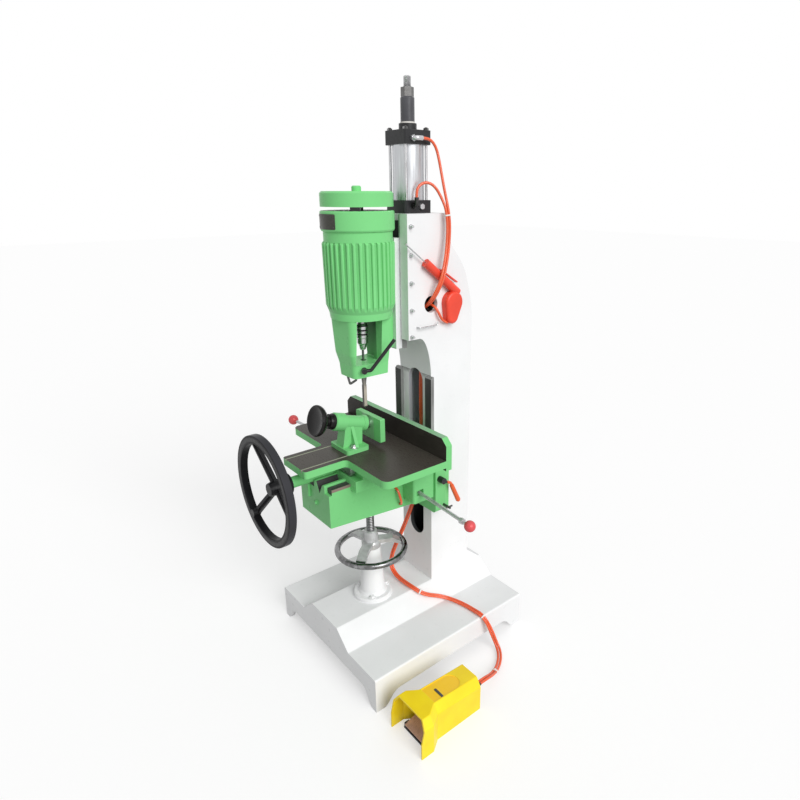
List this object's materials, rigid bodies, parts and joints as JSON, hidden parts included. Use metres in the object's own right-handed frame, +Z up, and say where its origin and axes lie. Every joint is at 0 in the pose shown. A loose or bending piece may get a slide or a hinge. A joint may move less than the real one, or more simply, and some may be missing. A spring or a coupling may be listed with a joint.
{
  "type": "hollow chisel mortiser",
  "caption": "Floor-standing air-driven hollow chisel mortiser: ribbed motor head on a column, cross-slide table with vise and fence, handwheels and a foot valve.",
  "frame": {"origin": "on the floor, in the middle of the machine's outline seen from above", "axes": "+Z up, +X to the operator's right, +Y from the operator towards the column"},
  "size_m": [0.8755, 0.769, 1.748],
  "materials": {
    "white_paint": "gloss",
    "green_paint": "gloss",
    "black_paint": "satin",
    "black_metal": "satin",
    "machined_iron": "machined",
    "steel": "satin",
    "chrome": "polished",
    "grey_metal": "satin",
    "red_hose": "satin",
    "red_plastic": "gloss",
    "yellow_plastic": "gloss",
    "orange_plastic": "gloss",
    "brown_plate": "matte"
  },
  "bodies": {
    "frame": {"base_casting": "white_paint", "column": "white_paint", "gib_strip": "steel", "gib_screws": "steel", "cylinder_lower_cap": "black_metal", "cylinder_barrel": "grey_metal", "cylinder_upper_cap": "black_metal", "cylinder_tie_rods": "steel", "air_fittings": "steel", "pedestal": "white_paint", "gun_body": "red_plastic", "gun_nozzle": "steel", "gun_hook": "steel", "pedal_guard": "yellow_plastic", "pedal_base": "black_metal", "hose_upper": "red_hose", "hose_lower": "red_hose", "hose_gun": "red_hose", "hose_pedal_left": "red_hose", "hose_pedal_right": "red_hose"},
    "head": {"head_slide": "white_paint", "motor_housing": "green_paint", "motor_end_ring": "green_paint", "motor_fan_cover": "green_paint", "fan_cover_spacers": "black_paint", "stator": "machined_iron", "chuck_housing": "green_paint", "hollow_chisel": "steel", "piston_rod": "steel", "piston": "grey_metal", "stroke_sleeve": "steel", "rod_nuts": "steel", "spindle_bearings": "steel"},
    "spindle": {"spindle_shaft": "steel", "rotor": "machined_iron", "cooling_fan": "grey_metal", "drill_chuck": "steel", "auger_bit": "steel"},
    "chisel_lock": {"chisel_lock_lever": "black_paint"},
    "knee": {"knee_casting": "green_paint", "knee_keepers": "green_paint", "elevating_screw": "steel", "hose_knee": "red_hose"},
    "lift_wheel": {"elevating_wheel": "chrome"},
    "saddle": {"saddle": "green_paint"},
    "table": {"table": "machined_iron", "fence": "green_paint", "feed_rack": "steel", "vise_body": "green_paint"},
    "feed_drive": {"feed_wheel": "black_paint", "pinion_shaft": "steel"},
    "vise_jaw": {"vise_ram": "machined_iron"},
    "vise_drive": {"vise_wheel": "black_paint"},
    "left_lever": {"left_lever": "steel"},
    "right_lever": {"right_lever": "steel"},
    "clamp_lever": {"knee_clamp_lever": "orange_plastic"},
    "lock_screw": {"knee_lock_screw": "steel"},
    "trigger": {"gun_trigger": "red_plastic"},
    "treadle": {"pedal_plate": "brown_plate"}
  },
  "joints": [
    {"name": "head_stroke", "type": "slide", "parent": "frame", "child": "head", "axis": [0, 0, 1], "range_m": [0, 0.1]},
    {"name": "spindle_turn", "type": "hinge", "parent": "head", "child": "spindle", "pos_m": [0, -0.0435, 1.06], "axis": [0, 0, 1], "continuous": true},
    {"name": "chisel_lock_turn", "type": "hinge", "parent": "head", "child": "chisel_lock", "pos_m": [0, -0.0435, 0.972], "axis": [0.8572, -0.515, 0], "range_deg": [-60, 30]},
    {"name": "knee_lift", "type": "slide", "parent": "frame", "child": "knee", "axis": [0, 0, 1], "range_m": [-0.06, 0.022]},
    {"name": "lift_wheel_turn", "type": "hinge", "parent": "frame", "child": "lift_wheel", "pos_m": [0, -0.0425, 0.346], "axis": [0, 0, 1], "range_deg": [-1321, 3601]},
    {"name": "saddle_cross", "type": "slide", "parent": "knee", "child": "saddle", "axis": [0, 1, 0], "range_m": [-0.05, 0.03]},
    {"name": "table_feed", "type": "slide", "parent": "saddle", "child": "table", "axis": [1, 0, 0], "range_m": [-0.08, 0.08]},
    {"name": "feed_wheel_turn", "type": "hinge", "parent": "saddle", "child": "feed_drive", "pos_m": [-0.02, -0.3005, 0.658], "axis": [0, 1, 0], "range_deg": [-306, 306]},
    {"name": "vise_slide", "type": "slide", "parent": "table", "child": "vise_jaw", "axis": [0, 0.9613, -0.2756], "range_m": [0, 0.05]},
    {"name": "vise_wheel_turn", "type": "hinge", "parent": "table", "child": "vise_drive", "pos_m": [0, -0.2085, 0.834], "axis": [0, 0.9613, -0.2756], "range_deg": [-1, 3601]},
    {"name": "left_lever_turn", "type": "hinge", "parent": "table", "child": "left_lever", "pos_m": [-0.232, -0.0675, 0.684], "axis": [0, 0, 1], "range_deg": [-25, 25]},
    {"name": "right_lever_turn", "type": "hinge", "parent": "knee", "child": "right_lever", "pos_m": [0.122, 0.0535, 0.572], "axis": [0, 0, 1], "range_deg": [-20, 20]},
    {"name": "clamp_lever_turn", "type": "hinge", "parent": "knee", "child": "clamp_lever", "pos_m": [0.146, 0.1285, 0.597], "axis": [1, 0, 0], "range_deg": [-5, 55]},
    {"name": "lock_screw_turn", "type": "hinge", "parent": "knee", "child": "lock_screw", "pos_m": [0.146, 0.1465, 0.5], "axis": [1, 0, 0], "range_deg": [-90, 90]},
    {"name": "trigger_press", "type": "hinge", "parent": "frame", "child": "trigger", "pos_m": [0.0913, 0.17922, 1.23647], "axis": [1, 0, 0], "range_deg": [-5, 0], "stiffness_Nm_per_rad": 0.5, "springref_deg": 5.73},
    {"name": "treadle_press", "type": "hinge", "parent": "frame", "child": "treadle", "pos_m": [0.421, -0.1925, 0.013], "axis": [1, 0, 0], "range_deg": [-9, 0], "stiffness_Nm_per_rad": 2, "springref_deg": 28.65}
  ],
  "couplings": [
    {"joint": "lift_wheel_turn", "follows": "knee_lift", "rad_per_m": -1047.2},
    {"joint": "feed_wheel_turn", "follows": "table_feed", "rad_per_m": 66.667},
    {"joint": "vise_wheel_turn", "follows": "vise_slide", "rad_per_m": 1256.6}
  ]
}
